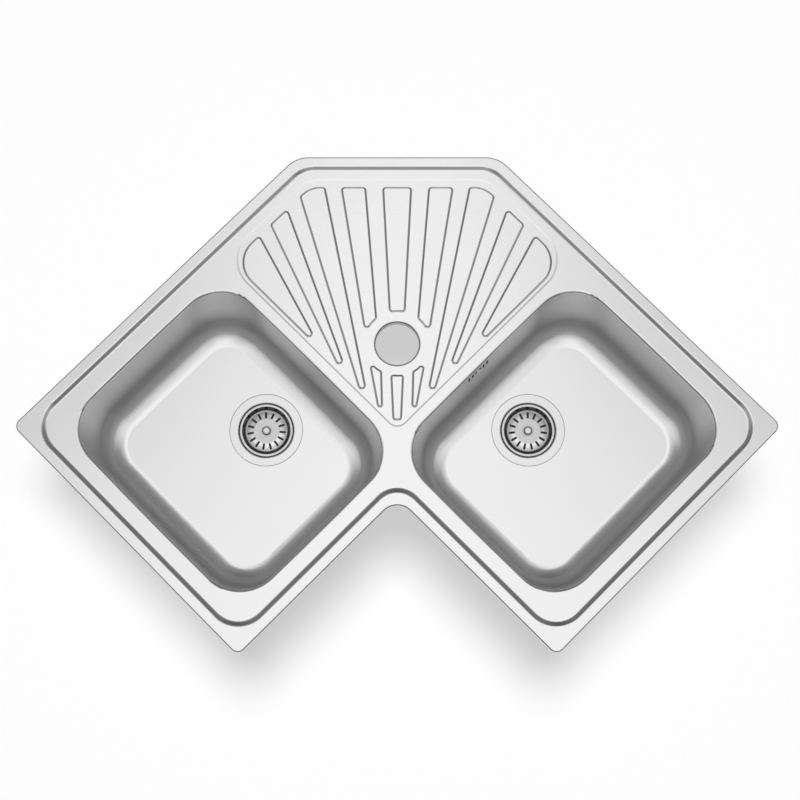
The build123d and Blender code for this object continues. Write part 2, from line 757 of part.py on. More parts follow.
spigot_foot = Plane(origin=(*wall_point(right, pipe_along, overflow_out), spigot_bottom), z_dir=(0, 0, 1))
with BuildPart() as overflow_housing:
    with BuildSketch(overflow_plane(overflow_gasket_thick)):
        RectangleRounded(housing_width, housing_height, housing_corner)
    extrude(amount=housing_depth)
    with BuildSketch(spigot_foot):
        Circle(spigot_radius)
    extrude(amount=spigot_top - spigot_bottom)
    with BuildSketch(overflow_plane(overflow_gasket_thick)):
        RectangleRounded(
            housing_width - 2 * housing_wall, housing_height - 2 * housing_wall, housing_corner - housing_wall
        )
    extrude(amount=housing_depth - housing_wall, mode=Mode.SUBTRACT)
    with BuildSketch(spigot_foot):
        Circle(spigot_bore)
    extrude(amount=spigot_top - spigot_bottom, mode=Mode.SUBTRACT)
    with BuildSketch(overflow_plane(overflow_gasket_thick)):
        Circle(housing_boss)
    extrude(amount=housing_depth - housing_wall)
    with BuildSketch(overflow_plane(overflow_gasket_thick)):
        Circle(overflow_screw_radius)
    extrude(amount=overflow_screw_length, mode=Mode.SUBTRACT)
overflow_housing.part.label = "overflow_housing"
export_step(overflow_housing.part, "parts/overflow_housing.step")

in_front = -sheet * math.cos(math.radians(bowl_draft)) - overflow_head_gap
with BuildPart() as overflow_screw:
    with BuildSketch(overflow_plane(in_front)):
        Circle(overflow_head_radius)
    extrude(amount=-overflow_head_height)
    head_rim = overflow_screw.edges().sort_by(Axis(overflow_plane(0).origin, overflow_plane(0).z_dir))[0]
    fillet(head_rim, overflow_head_round)
    with BuildSketch(overflow_plane(in_front)):
        Circle(overflow_screw_radius)
    extrude(amount=overflow_screw_length)
    with BuildSketch(overflow_plane(in_front - overflow_head_height)):
        Rectangle(2 * overflow_head_radius, overflow_drive)
    extrude(amount=overflow_drive_depth, mode=Mode.SUBTRACT)
overflow_screw.part.label = "overflow_screw"
export_step(overflow_screw.part, "parts/overflow_screw.step")

with BuildPart() as overflow_pipe:
    pipe_x, pipe_y = wall_point(right, pipe_along, overflow_out)
    with BuildLine() as pipe_line:
        FilletPolyline(
            (pipe_x, pipe_y, pipe_top),
            (pipe_x, pipe_y, floor_z - inlet_depth),
            inlet_plane(pipe_end).origin,
            radius=pipe_bend,
        )
    with BuildSketch(Plane(origin=pipe_line.line @ 0, z_dir=pipe_line.line % 0)):
        Circle(spigot_radius + pipe_gap + pipe_wall)
        Circle(spigot_radius + pipe_gap, mode=Mode.SUBTRACT)
    sweep()
overflow_pipe.part.label = "overflow_pipe"
export_step(overflow_pipe.part, "parts/overflow_pipe.step")
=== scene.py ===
# %% [markdown]
# # A corner kitchen sink, dressed in satin steel
# The engineering model of the sink comes in first, as a fixed frame of named nodes: the pressed deck, two
# bowls, the basket wastes, the overflow, the seal and the clips. This notebook gives each of them its
# finish, adds the welds and threads that the plain solids don't have, and sets up a small studio with the
# camera above the sink.

# %% Load the frame
import json
import math

import bpy
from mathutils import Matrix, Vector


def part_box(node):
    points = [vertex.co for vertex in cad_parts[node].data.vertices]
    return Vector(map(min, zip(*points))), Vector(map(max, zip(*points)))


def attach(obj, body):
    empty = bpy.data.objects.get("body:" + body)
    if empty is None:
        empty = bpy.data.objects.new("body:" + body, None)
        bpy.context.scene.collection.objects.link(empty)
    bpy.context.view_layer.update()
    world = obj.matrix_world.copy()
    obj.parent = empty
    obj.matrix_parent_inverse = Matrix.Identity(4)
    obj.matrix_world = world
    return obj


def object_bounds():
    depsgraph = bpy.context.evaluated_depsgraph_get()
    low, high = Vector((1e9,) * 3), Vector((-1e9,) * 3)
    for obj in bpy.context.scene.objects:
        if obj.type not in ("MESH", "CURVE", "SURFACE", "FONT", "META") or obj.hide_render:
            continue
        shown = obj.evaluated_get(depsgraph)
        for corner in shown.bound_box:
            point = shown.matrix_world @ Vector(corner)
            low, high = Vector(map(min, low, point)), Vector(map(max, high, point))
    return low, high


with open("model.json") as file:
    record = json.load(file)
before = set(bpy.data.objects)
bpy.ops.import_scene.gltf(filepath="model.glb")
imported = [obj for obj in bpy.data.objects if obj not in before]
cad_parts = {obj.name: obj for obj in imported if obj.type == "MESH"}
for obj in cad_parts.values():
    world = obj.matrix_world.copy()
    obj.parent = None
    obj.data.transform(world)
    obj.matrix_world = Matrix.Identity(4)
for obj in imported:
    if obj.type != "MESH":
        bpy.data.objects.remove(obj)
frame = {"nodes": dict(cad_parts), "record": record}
nodes = frame["nodes"]
cad_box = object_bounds()
scene = bpy.context.scene
print("nodes in the frame:", len(nodes))

# %% [markdown]
# ## The camera
# The photograph is taken from above, about three metres away, with the camera leaning a little towards the
# cut-off back edge. A long lens keeps the arms nearly parallel, so both bowls show the same amount of wall.

# %% Camera
camera_place = (0.0, -0.6823, 2.9512)
camera_tilt = math.radians(11.38)
bpy.ops.object.camera_add(location=camera_place, rotation=(camera_tilt, 0, 0))
camera = bpy.context.object
camera.name = "studio_camera"
camera.data.lens = 88.31
camera.data.sensor_width = 36.0
camera.data.shift_x = 0.0035
camera.data.clip_end = 50.0
scene.camera = camera
print("camera looks down from", round(camera_place[2], 2), "m")

# %% [markdown]
# ## Small helpers for nodes
# Every finish and the room itself are made of nodes. A few helpers keep their recipes short: each adds one
# node, feeds its sockets with either a number or another node's result, and gives back the socket that
# carries the result.

# %% Adding nodes
def feed(tree, value, socket):
    """Gives a socket its value: a link from another socket, or a plain number or colour."""
    if isinstance(value, bpy.types.NodeSocket):
        tree.links.new(value, socket)
    else:
        socket.default_value = value


def add_node(tree, kind, **settings):
    """A node with its settings; a setting that names an input feeds that input."""
    node = tree.nodes.new(kind)
    for key, value in settings.items():
        if key in node.inputs:
            feed(tree, value, node.inputs[key])
        else:
            setattr(node, key, value)
    return node


# %% Numbers
def math_node(tree, operation, first, second=0.0, clamp=False):
    """A math node's result."""
    node = add_node(tree, "ShaderNodeMath", operation=operation, use_clamp=clamp)
    feed(tree, first, node.inputs[0])
    feed(tree, second, node.inputs[1])
    return node.outputs[0]


def smooth_step(tree, value, start, end, low, high):
    """value's place between start and end, smoothed, turned into a number between low and high."""
    node = add_node(tree, "ShaderNodeMapRange", interpolation_type="SMOOTHSTEP")
    numbers = {"Value": value, "From Min": start, "From Max": end, "To Min": low, "To Max": high}
    for name, number in numbers.items():
        feed(tree, number, node.inputs[name])
    return node.outputs["Result"]


def mix_values(tree, share, first, second):
    """first where share is 0, second where it is 1."""
    node = add_node(tree, "ShaderNodeMix", data_type="FLOAT")
    for index, value in ((0, share), (2, first), (3, second)):
        feed(tree, value, node.inputs[index])
    return node.outputs[0]


# %% Colours
def mix_colors(tree, share, first, second):
    """The first colour where share is 0, the second where it is 1."""
    node = add_node(tree, "ShaderNodeMix", data_type="RGBA")
    for index, value in ((0, share), (6, first), (7, second)):
        feed(tree, value, node.inputs[index])
    return node.outputs[2]


def grey(level, warmth=0.0):
    """A grey for metal, rubber or plastic, a little warm or, below zero, a little cool."""
    return (level * (1 + warmth), level, level * (1 - warmth), 1)


def color_ramp(tree, value, stops, interpolation="LINEAR"):
    """Colours along a ramp: stops are (place from 0 to 1, colour)."""
    node = add_node(tree, "ShaderNodeValToRGB", Fac=value)
    ramp = node.color_ramp
    ramp.interpolation = interpolation
    while len(ramp.elements) < len(stops):
        ramp.elements.new(1.0)
    for element, (place, color) in zip(ramp.elements, stops):
        element.position = place
        element.color = color
    return node.outputs["Color"]


print("a warm light grey is", grey(0.7, 0.02))

# %% [markdown]
# ## The room
# Satin and polished steel have hardly any colour of their own: they show the room. So the look of the
# sink is made by the room above it: a wide soft light straight overhead, a dark band behind it, and paler
# walls at the sides and in front. Flat steel mirrors the soft light, and every slope that is tipped by
# more than a few degrees mirrors a wall, which draws the ribs, the step and the bowls. Large lit panels
# round the sink could do this too, but their edges would show in the steel. So the room is painted into
# the world by direction, where one side melts into the next: how far a direction is from straight up, and
# how far round it is from straight behind the sink.

# %% Directions in the room
scene.view_settings.view_transform = "Standard"
world = bpy.data.worlds.new("studio_room")
scene.world = world
world.use_nodes = True
room = world.node_tree
room.nodes.clear()

direction = add_node(room, "ShaderNodeTexCoord").outputs["Generated"]
east, north, up = add_node(room, "ShaderNodeSeparateXYZ", Vector=direction).outputs
ramp_reach = 120  # degrees from straight up, where the ramps end
zenith_angle = math_node(room, "ARCCOSINE", up)
zenith_share = math_node(room, "DIVIDE", zenith_angle, math.radians(ramp_reach))
sideways = math_node(room, "ABSOLUTE", east)
round_angle = math_node(room, "MULTIPLY", math_node(room, "ARCTAN2", sideways, north), 180 / math.pi)
print("ramps of light reach", ramp_reach, "degrees down from straight up")

# %% Five sides of the room
def room_ramp(stops):
    """Levels of light from straight up down to the floor: stops are (degrees from straight up, level)."""
    greys = [(degrees / ramp_reach, grey(level)) for degrees, level in stops]
    return color_ramp(room, zenith_share, greys, "EASE")


# Each stop is (degrees from straight up, level of light).
overhead = (0, 1.04)
behind = [
    overhead, (6, 1.06), (12, 1.12), (21, 1.1), (26, 0.5),
    (31, 0.24), (60, 0.15), (80, 0.12), (95, 0.09),
]
behind_side = [
    overhead, (6, 1.04), (12, 0.95), (16, 0.61), (22, 0.56),
    (28, 0.44), (36, 0.28), (60, 0.22), (72, 0.19),
]
side = [
    overhead, (7, 1.02), (11, 0.88), (30, 0.8), (45, 0.66),
    (60, 0.52), (68, 0.26), (76, 0.12), (92, 0.14),
]
front_side = [
    overhead, (7, 1.0), (12, 0.86), (24, 0.7), (34, 0.64),
    (46, 0.5), (53, 0.3), (60, 0.08), (92, 0.12),
]
front = [overhead, (14, 1.02), (28, 0.9), (42, 0.62), (55, 0.44), (75, 0.3), (92, 0.2)]
# Each of these fades in between two angles round from straight behind, in degrees.
further_sides = ((behind_side, 2, 32), (side, 55, 95), (front_side, 116, 138), (front, 145, 165))
light_level = room_ramp(behind)
for stops, start, end in further_sides:
    share = smooth_step(room, round_angle, start, end, 0, 1)
    light_level = mix_values(room, share, light_level, room_ramp(stops))
print("the room has", 1 + len(further_sides), "painted sides, from behind the sink to the front")

# %% [markdown]
# ## The soft lamp and the floor
# Matt pieces, such as the rubber and the floor, don't show the room: they show how much light falls on
# them. Most of that comes from one soft lamp a little behind straight overhead, wide enough to blur the
# sink's shadow, and the room gives them only a share of its light. The lamp itself isn't mirrored in the
# steel. The floor's white comes half from this light, so that the shadow shows, and half from a glow that
# only the camera and reflections see.

# %% Room light and lamp
diffuse_share = 0.3  # of the room's light, for matt surfaces


def seen_directly(tree):
    """1 for rays of the camera and of mirror reflections, 0 for the light that falls on matt surfaces."""
    rays = add_node(tree, "ShaderNodeLightPath").outputs
    seen = math_node(tree, "ADD", rays["Is Camera Ray"], rays["Is Glossy Ray"])
    return math_node(tree, "ADD", seen, rays["Is Transmission Ray"], clamp=True)


room_strength = smooth_step(room, seen_directly(room), 0, 1, diffuse_share, 1)
sky = add_node(room, "ShaderNodeBackground", Color=light_level, Strength=room_strength)
add_node(room, "ShaderNodeOutputWorld", Surface=sky.outputs[0])

lamp_lean = math.radians(10)
lamp_width = math.radians(24)
bpy.ops.object.light_add(type="SUN", rotation=(-lamp_lean, 0, 0))
lamp = bpy.context.object
lamp.name = "soft_lamp"
lamp.data.angle = lamp_width
lamp.data.energy = 2.75
lamp.visible_glossy = False
print("soft lamp:", lamp.data.energy, "W per square metre")

# %% Floor
floor_gap = 0.004
floor_size = 14
paint_level = 0.47
glow_level = 0.51
floor_level = cad_box[0][2] - floor_gap
bpy.ops.mesh.primitive_plane_add(size=floor_size, location=(0, 0, floor_level))
floor = bpy.context.object
floor.name = "studio_floor"
floor_paint = bpy.data.materials.new("white_studio_floor")
floor_paint.use_nodes = True
tree = floor_paint.node_tree
tree.nodes.clear()
paint = add_node(tree, "ShaderNodeBsdfDiffuse", Color=grey(paint_level))
glow_strength = math_node(tree, "MULTIPLY", seen_directly(tree), glow_level)
glow = add_node(tree, "ShaderNodeEmission", Strength=glow_strength)
both = add_node(tree, "ShaderNodeAddShader")
feed(tree, paint.outputs[0], both.inputs[0])
feed(tree, glow.outputs[0], both.inputs[1])
add_node(tree, "ShaderNodeOutputMaterial", Surface=both.outputs[0])
floor.data.materials.append(floor_paint)
print("floor lies at", round(floor_level, 4), "m")

# %% [markdown]
# ## Effects that several finishes share
# Three effects come back in most of the finishes, so each is a node group, built once. One gives fine
# grain, slow clouds and sparse hairline scratches. One tells which way the surface faces and how high it
# lies: the underside of a pressed sheet is greyer than the top, and the walls of a bowl get a darker grey
# as painted shade. One gives the distance from an upright axis and the rings that a spun or turned piece
# has round it.

# %% An empty group with its sockets
def new_group(name, inputs, outputs):
    """A node group: inputs are (name, kind, value), outputs are names of values."""
    group = bpy.data.node_groups.new(name, "ShaderNodeTree")
    for socket_name, kind, value in inputs:
        group.interface.new_socket(socket_name, in_out="INPUT", socket_type=kind).default_value = value
    for socket_name in outputs:
        group.interface.new_socket(socket_name, in_out="OUTPUT", socket_type="NodeSocketFloat")
    return group, group.nodes.new("NodeGroupInput").outputs, group.nodes.new("NodeGroupOutput").inputs


def noise(tree, vector, scale, detail=2.0):
    """Noise between 0 and 1, with so many patches a metre."""
    node = add_node(tree, "ShaderNodeTexNoise", Vector=vector, Scale=scale, Detail=detail)
    return node.outputs[0]


# %% Group: grain, clouds and hairlines
grain_group, given, result = new_group(
    "surface_grain",
    [
        ("Stretch", "NodeSocketVector", (1, 1, 1)),
        ("Grain Scale", "NodeSocketFloat", 900),
        ("Cloud Scale", "NodeSocketFloat", 9),
    ],
    ["Grain", "Cloud", "Hairline"],
)
place = add_node(grain_group, "ShaderNodeTexCoord").outputs["Object"]
stretched = add_node(grain_group, "ShaderNodeVectorMath", operation="MULTIPLY")
feed(grain_group, place, stretched.inputs[0])
feed(grain_group, given["Stretch"], stretched.inputs[1])
turned = add_node(grain_group, "ShaderNodeMapping", Vector=place, Rotation=(0, 0, 0.6), Scale=(3, 90, 90))
feed(grain_group, noise(grain_group, stretched.outputs[0], given["Grain Scale"], 3), result["Grain"])
feed(grain_group, noise(grain_group, place, given["Cloud Scale"], 3), result["Cloud"])
lines = smooth_step(grain_group, noise(grain_group, turned.outputs[0], 7, 1), 0.70, 0.76, 0, 1)
feed(grain_group, lines, result["Hairline"])
print("made the group", grain_group.name)

# %% Group: which way the surface faces
facing_group, given, result = new_group("surface_facing", [], ["Upward", "Underside", "Steep", "Height"])
place = add_node(facing_group, "ShaderNodeTexCoord").outputs
upward = add_node(facing_group, "ShaderNodeSeparateXYZ", Vector=place["Normal"]).outputs["Z"]
height = add_node(facing_group, "ShaderNodeSeparateXYZ", Vector=place["Object"]).outputs["Z"]
feed(facing_group, upward, result["Upward"])
feed(facing_group, smooth_step(facing_group, upward, -0.05, -0.01, 1, 0), result["Underside"])
feed(facing_group, smooth_step(facing_group, upward, 0.3, 0.9, 1, 0), result["Steep"])
feed(facing_group, height, result["Height"])
print("made the group", facing_group.name)

# %% Group: rings round an upright axis
rings_group, given, result = new_group(
    "turned_rings",
    [("Axis", "NodeSocketVector", (0, 0, 0)), ("Ring Scale", "NodeSocketFloat", 1500)],
    ["Radius", "Rings"],
)
place = add_node(rings_group, "ShaderNodeTexCoord").outputs["Object"]
from_axis = add_node(rings_group, "ShaderNodeVectorMath", operation="SUBTRACT")
feed(rings_group, place, from_axis.inputs[0])
feed(rings_group, given["Axis"], from_axis.inputs[1])
level_part = add_node(rings_group, "ShaderNodeVectorMath", operation="MULTIPLY")
feed(rings_group, from_axis.outputs[0], level_part.inputs[0])
level_part.inputs[1].default_value = (1, 1, 0)
length = add_node(rings_group, "ShaderNodeVectorMath", operation="LENGTH")
feed(rings_group, level_part.outputs[0], length.inputs[0])
radius = length.outputs["Value"]
feed(rings_group, radius, result["Radius"])
lathe = add_node(rings_group, "ShaderNodeTexNoise", noise_dimensions="1D", Scale=1.0, Detail=2.0)
feed(rings_group, math_node(rings_group, "MULTIPLY", radius, given["Ring Scale"]), lathe.inputs["W"])
feed(rings_group, lathe.outputs[0], result["Rings"])
print("made the group", rings_group.name)

# %% Starting a finish
def new_finish(name, metallic):
    """A material and its node tree and shader."""
    finish = bpy.data.materials.new(name)
    finish.use_nodes = True
    shader = finish.node_tree.nodes["Principled BSDF"]
    shader.inputs["Metallic"].default_value = metallic
    return finish, finish.node_tree, shader.inputs


def shared(tree, group, **values):
    """One of the shared effects, placed in a finish with its own values."""
    node = add_node(tree, "ShaderNodeGroup", node_tree=group)
    for key, value in values.items():
        feed(tree, value, node.inputs[key.replace("_", " ")])
    return node.outputs


def raise_bumps(tree, shader, height, strength, distance):
    """Fine relief from a height, distance deep."""
    relief = add_node(tree, "ShaderNodeBump", Height=height, Strength=strength, Distance=distance)
    feed(tree, relief.outputs[0], shader["Normal"])


def varied(tree, middle, *parts):
    """A number that each part, a (value from 0 to 1, how much) pair, moves up and down around its middle."""
    for value, amount in parts:
        change = math_node(tree, "MULTIPLY", math_node(tree, "SUBTRACT", value, 0.5), amount)
        middle = math_node(tree, "ADD", middle, change)
    return middle


# %% [markdown]
# ## Satin steel of the deck
# The deck is pressed from one sheet with a satin face. Its grain is finer than a millimetre and runs
# along the back edge, and slow clouds keep the large flat parts from looking drawn with a ruler. Both are
# noise, which never repeats over the metre of sheet as a picture of brushed steel would. The rolled outer
# edge, the step, the upper sides of the ribs and the lip of the tap hole get a dark grey: painted shade
# for the dark room that these slopes mirror. The rolled slopes are also rougher. The underside was never
# polished: it is greyer and rougher. The sheet's height and the way it faces tell these places apart, so
# nothing has to be painted by hand. The outer edge is told from the step by its normal, which points away
# from the tap hole, where the model has its origin.

# %% Deck: where shade is painted on the slopes
border_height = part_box("deck")[1][2]
above_inner_deck = 0.0044  # the deck inside the step lies at 3.8 mm
above_ribs = 0.006
hole_lip_end = 0.0362  # from the tap hole's axis
fade = 0.001  # height or width over which a mask fades
satin_deck, tree, shader = new_finish("satin_steel_deck", 1)
facing = shared(tree, facing_group)
upward, height = facing["Upward"], facing["Height"]
raised = smooth_step(tree, height, above_inner_deck, above_inner_deck + fade, 0, 1)
rolled = math_node(tree, "MULTIPLY", raised, smooth_step(tree, upward, 0.48, 0.93, 1, 0))
surface = add_node(tree, "ShaderNodeTexCoord").outputs
outwards = add_node(tree, "ShaderNodeVectorMath", operation="DOT_PRODUCT")
feed(tree, surface["Object"], outwards.inputs[0])
feed(tree, surface["Normal"], outwards.inputs[1])
# On a flat stretch this product is the height, so what faces outwards starts above the border's height.
faces_out = smooth_step(tree, outwards.outputs["Value"], border_height + 0.004, border_height + 0.008, 0, 1)
high_up = smooth_step(tree, height, above_ribs, above_ribs + fade, 0, 1)
outer_edge = math_node(tree, "MULTIPLY", faces_out, high_up)
outer_edge = math_node(tree, "MULTIPLY", outer_edge, smooth_step(tree, upward, 0.93, 0.985, 1, 0))
hole = shared(tree, rings_group, Axis=(0, 0, 0))
hole_lip = smooth_step(tree, hole["Radius"], hole_lip_end, hole_lip_end + fade, 1, 0)
hole_lip = math_node(tree, "MULTIPLY", hole_lip, smooth_step(tree, upward, 0.7, 0.95, 1, 0))
print("the border lies at", round(border_height, 4), "m, and slopes are rubbed above", above_inner_deck, "m")

# %% Deck: colour, roughness and grain
grain = shared(tree, grain_group, Stretch=(0.12, 1, 1), Grain_Scale=1300, Cloud_Scale=11)
color = mix_colors(tree, grain["Cloud"], grey(0.87), grey(0.90))
# Painted shade: the rolled slopes, the outer edge and the tap hole's lip get a dark grey for the dark room
# that they mirror.
for shaded, level in ((rolled, 0.22), (outer_edge, 0.24), (hole_lip, 0.3)):
    color = mix_colors(tree, shaded, color, grey(level))
feed(tree, mix_colors(tree, facing["Underside"], color, grey(0.62, 0.01)), shader["Base Color"])
roughness = varied(tree, 0.185, (grain["Grain"], 0.07), (grain["Cloud"], 0.05))
roughness = math_node(tree, "ADD", roughness, math_node(tree, "MULTIPLY", grain["Hairline"], 0.05))
roughness = mix_values(tree, rolled, roughness, 0.34)
feed(tree, mix_values(tree, facing["Underside"], roughness, 0.42), shader["Roughness"])
raise_bumps(tree, shader, grain["Grain"], 0.12, 0.00005)
print("made", satin_deck.name)

# %% [markdown]
# ## Satin steel of the bowls
# A bowl is drawn deep from a flat blank. The walls stretch on the way down, so they end rougher than the
# floor, with faint upright draw marks, and the hollow between wall and floor is the roughest. The walls
# also get a darker grey than the floor, as painted shade. Again the way that the surface faces tells wall,
# hollow and floor apart. Underneath, the weld to the deck has left a straw and blue heat tint, which shows
# only on the outside: a ramp of colours over the last centimetre and a half below the weld. Each bowl's
# floor has a fine dark line round the flange of its waste, painted shade for the gap where the flange is
# let into the floor.

# %% Where the welds and the wastes are
side_names = ("left", "right")
weld_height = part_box("left_bowl")[1][2]


def waste_axis(side_name):
    """Place of a waste's axis, half way across its basket's box."""
    low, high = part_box(f"{side_name}_basket")
    return (low[0] + high[0]) / 2, (low[1] + high[1]) / 2, 0


for side_name in side_names:
    print(side_name, "waste stands at", [round(number, 4) for number in waste_axis(side_name)])

# %% Bowls
tint_height = 0.014  # how far the heat tint reaches down from the weld
plain_steel, straw, blue = grey(0.62, 0.01), (0.62, 0.5, 0.34, 1), (0.34, 0.36, 0.46, 1)
tint_stops = ((0.0, plain_steel), (0.35, grey(0.6, 0.05)), (0.6, straw), (0.82, blue))
joint_gap = 0.0003  # flange's edge to the middle of the joint
joint_dark = 0.0004  # half the width of its dark part
joint_end = 0.0011  # where it has faded out


def bowl_finish(side_name):
    """Satin steel for one bowl, with painted shade at the joint round its own waste."""
    finish, tree, shader = new_finish(f"satin_steel_{side_name}_bowl", 1)
    grain = shared(tree, grain_group, Stretch=(1, 1, 0.3), Grain_Scale=1100, Cloud_Scale=16)
    drawn = shared(tree, grain_group, Stretch=(1, 1, 0.02), Grain_Scale=160, Cloud_Scale=5)
    facing = shared(tree, facing_group)
    waste = shared(tree, rings_group, Axis=waste_axis(side_name))
    low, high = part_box(f"{side_name}_waste_flange")
    joint_radius = (high[0] - low[0]) / 2 + joint_gap
    off_joint = math_node(tree, "ABSOLUTE", math_node(tree, "SUBTRACT", waste["Radius"], joint_radius))
    joint_shade = smooth_step(tree, off_joint, joint_dark, joint_end, 1, 0)

    under_weld = smooth_step(tree, facing["Height"], weld_height - tint_height, weld_height, 0, 1)
    tint = color_ramp(tree, under_weld, tint_stops)
    color = mix_colors(tree, grain["Cloud"], grey(0.865), grey(0.89))
    # Painted shade: the steep walls get a darker grey than the floor.
    color = mix_colors(tree, facing["Steep"], color, grey(0.70))
    # Painted shade: a dark line round the flange, for the gap where it is let into the floor.
    color = mix_colors(tree, joint_shade, color, grey(0.4))
    feed(tree, mix_colors(tree, facing["Underside"], color, tint), shader["Base Color"])

    roughness = varied(tree, 0.20, (grain["Grain"], 0.06), (grain["Cloud"], 0.05))
    walls = varied(tree, 0.38, (drawn["Grain"], 0.06), (grain["Cloud"], 0.04))
    roughness = mix_values(tree, facing["Steep"], roughness, walls)
    past_wall = smooth_step(tree, facing["Upward"], 0.35, 0.6, 0, 1)
    before_floor = smooth_step(tree, facing["Upward"], 0.72, 0.92, 1, 0)
    hollow = math_node(tree, "MULTIPLY", past_wall, before_floor)
    roughness = math_node(tree, "ADD", roughness, math_node(tree, "MULTIPLY", hollow, 0.25))
    below = varied(tree, 0.42, (drawn["Grain"], 0.2))
    feed(tree, mix_values(tree, facing["Underside"], roughness, below), shader["Roughness"])
    not_steep = math_node(tree, "SUBTRACT", 1.0, facing["Steep"])
    flat_grain = math_node(tree, "MULTIPLY", grain["Grain"], not_steep)
    raise_bumps(tree, shader, flat_grain, 0.12, 0.00005)
    return finish


# %% [markdown]
# ## Turned and polished steel
# The flange, the basket and its knob are spun and polished on a lathe, so they carry fine rings round the
# waste's axis. Cut rings would need a great many faces, so they are noise along the radius, which moves
# only the roughness and the normal. The flange is as bright as the floor it lies in. The basket mirrors
# itself over and over, and its grey and its knob's are darker than the flange's as painted shade. A ramp
# by the distance from the axis paints each ring its light or shade: dark on the steep wall and round the
# knob, a painted highlight on the ring between the slots. Screws and posts have the same polish without
# the rings showing at their size.

# %% Shades of the basket and its knob
# Each is (distance from the axis, level of grey), painted light and shade. In the basket they go from the
# painted shade round the knob over the floor, the painted highlight on the ring between the slots, the
# floor's edge and the painted shade on the steep wall to the rim.
middle_painted_light = ((0.0066, 0.36), (0.0098, 0.6), (0.0198, 0.62), (0.0220, 0.94), (0.0252, 0.9), (0.0285, 0.6))
edge_painted_light = ((0.0308, 0.56), (0.0320, 0.36), (0.0336, 0.34), (0.0345, 0.12), (0.0382, 0.12), (0.0389, 0.70))
basket_painted_light = middle_painted_light + edge_painted_light
knob_painted_light = ((0.0034, 0.7), (0.0050, 0.34), (0.0064, 0.26))
ramp_radius = 0.043  # distance from the axis where the ramp ends
print("shades in the basket:", len(basket_painted_light), "and on its knob:", len(knob_painted_light))

# %% Flanges, baskets and screws
def turned_finish(name, axis, shade, roughness_middle, shades=()):
    """Polished steel with lathe rings round an axis, and painted light and shade by distance from it where
    shades are given.
    """
    finish, tree, shader = new_finish(name, 1)
    turned = shared(tree, rings_group, Axis=axis, Ring_Scale=1400)
    grain = shared(tree, grain_group, Grain_Scale=700, Cloud_Scale=30)
    color = mix_colors(tree, grain["Cloud"], grey(shade * 0.98), grey(shade * 1.02))
    if shades:
        # Painted light: the ramp gives each ring a painted shade or a painted highlight.
        greys = [(distance / ramp_radius, grey(ring_shade)) for distance, ring_shade in shades]
        by_radius = color_ramp(tree, math_node(tree, "DIVIDE", turned["Radius"], ramp_radius), greys)
        color = mix_colors(tree, math_node(tree, "MULTIPLY", grain["Cloud"], 0.1), by_radius, color)
    feed(tree, color, shader["Base Color"])
    roughness = varied(tree, roughness_middle, (turned["Rings"], 0.08), (grain["Cloud"], 0.04))
    roughness = math_node(tree, "ADD", roughness, math_node(tree, "MULTIPLY", grain["Hairline"], 0.06))
    feed(tree, roughness, shader["Roughness"])
    raise_bumps(tree, shader, turned["Rings"], 0.1, 0.00005)
    return finish


# %% [markdown]
# ## Zinc-plated clips
# Clips, claws and their screws are bright zinc-plated steel: bluish, with the faint patches of crystals
# that zinc forms, some a little duller than others. A Voronoi texture cuts space into such patches, and
# each patch has one grey and one roughness of its own.

# %% Zinc
zinc, tree, shader = new_finish("zinc_plated_steel", 1)
grain = shared(tree, grain_group, Grain_Scale=1500, Cloud_Scale=60)
place = add_node(tree, "ShaderNodeTexCoord").outputs["Object"]
crystals = add_node(tree, "ShaderNodeTexVoronoi", Vector=place, Scale=420)
patch = add_node(tree, "ShaderNodeSeparateColor", Color=crystals.outputs["Color"]).outputs[0]
color = mix_colors(tree, patch, grey(0.56, -0.03), grey(0.70, -0.01))
feed(tree, mix_colors(tree, grain["Cloud"], color, grey(0.62, 0.02)), shader["Base Color"])
feed(tree, varied(tree, 0.36, (patch, 0.12), (grain["Grain"], 0.1)), shader["Roughness"])
raise_bumps(tree, shader, grain["Grain"], 0.2, 0.00008)
print("made", zinc.name)

# %% [markdown]
# ## Black plastic, rubber, foam and the damping pads
# The parts below the bowls are matt and nearly black, and differ in their surface. The moulded waste
# bodies have a fine stipple and a soft sheen, and rubber is duller and shows a grey bloom: noise does for
# both. The foam seal is full of small pores, which are the cells of a Voronoi texture. The damping pads
# are bitumen with a pressed diamond pattern, which two crossed sine waves give.

# %% Moulded black plastic
black_plastic, tree, shader = new_finish("black_polypropylene", 0)
grain = shared(tree, grain_group, Grain_Scale=1600, Cloud_Scale=26)
color = mix_colors(tree, grain["Cloud"], grey(0.018), grey(0.032))
feed(tree, mix_colors(tree, grain["Hairline"], color, grey(0.06)), shader["Base Color"])
feed(tree, varied(tree, 0.42, (grain["Grain"], 0.16), (grain["Cloud"], 0.1)), shader["Roughness"])
raise_bumps(tree, shader, grain["Grain"], 0.35, 0.00012)
print("made", black_plastic.name)

# %% Rubber
rubber, tree, shader = new_finish("moulded_black_rubber", 0)
grain = shared(tree, grain_group, Grain_Scale=900, Cloud_Scale=40)
bloom = smooth_step(tree, grain["Cloud"], 0.45, 0.75, 0, 1)
feed(tree, mix_colors(tree, bloom, grey(0.014), grey(0.035, 0.02)), shader["Base Color"])
feed(tree, varied(tree, 0.62, (grain["Grain"], 0.2), (grain["Cloud"], 0.1)), shader["Roughness"])
raise_bumps(tree, shader, grain["Grain"], 0.3, 0.0001)
print("made", rubber.name)

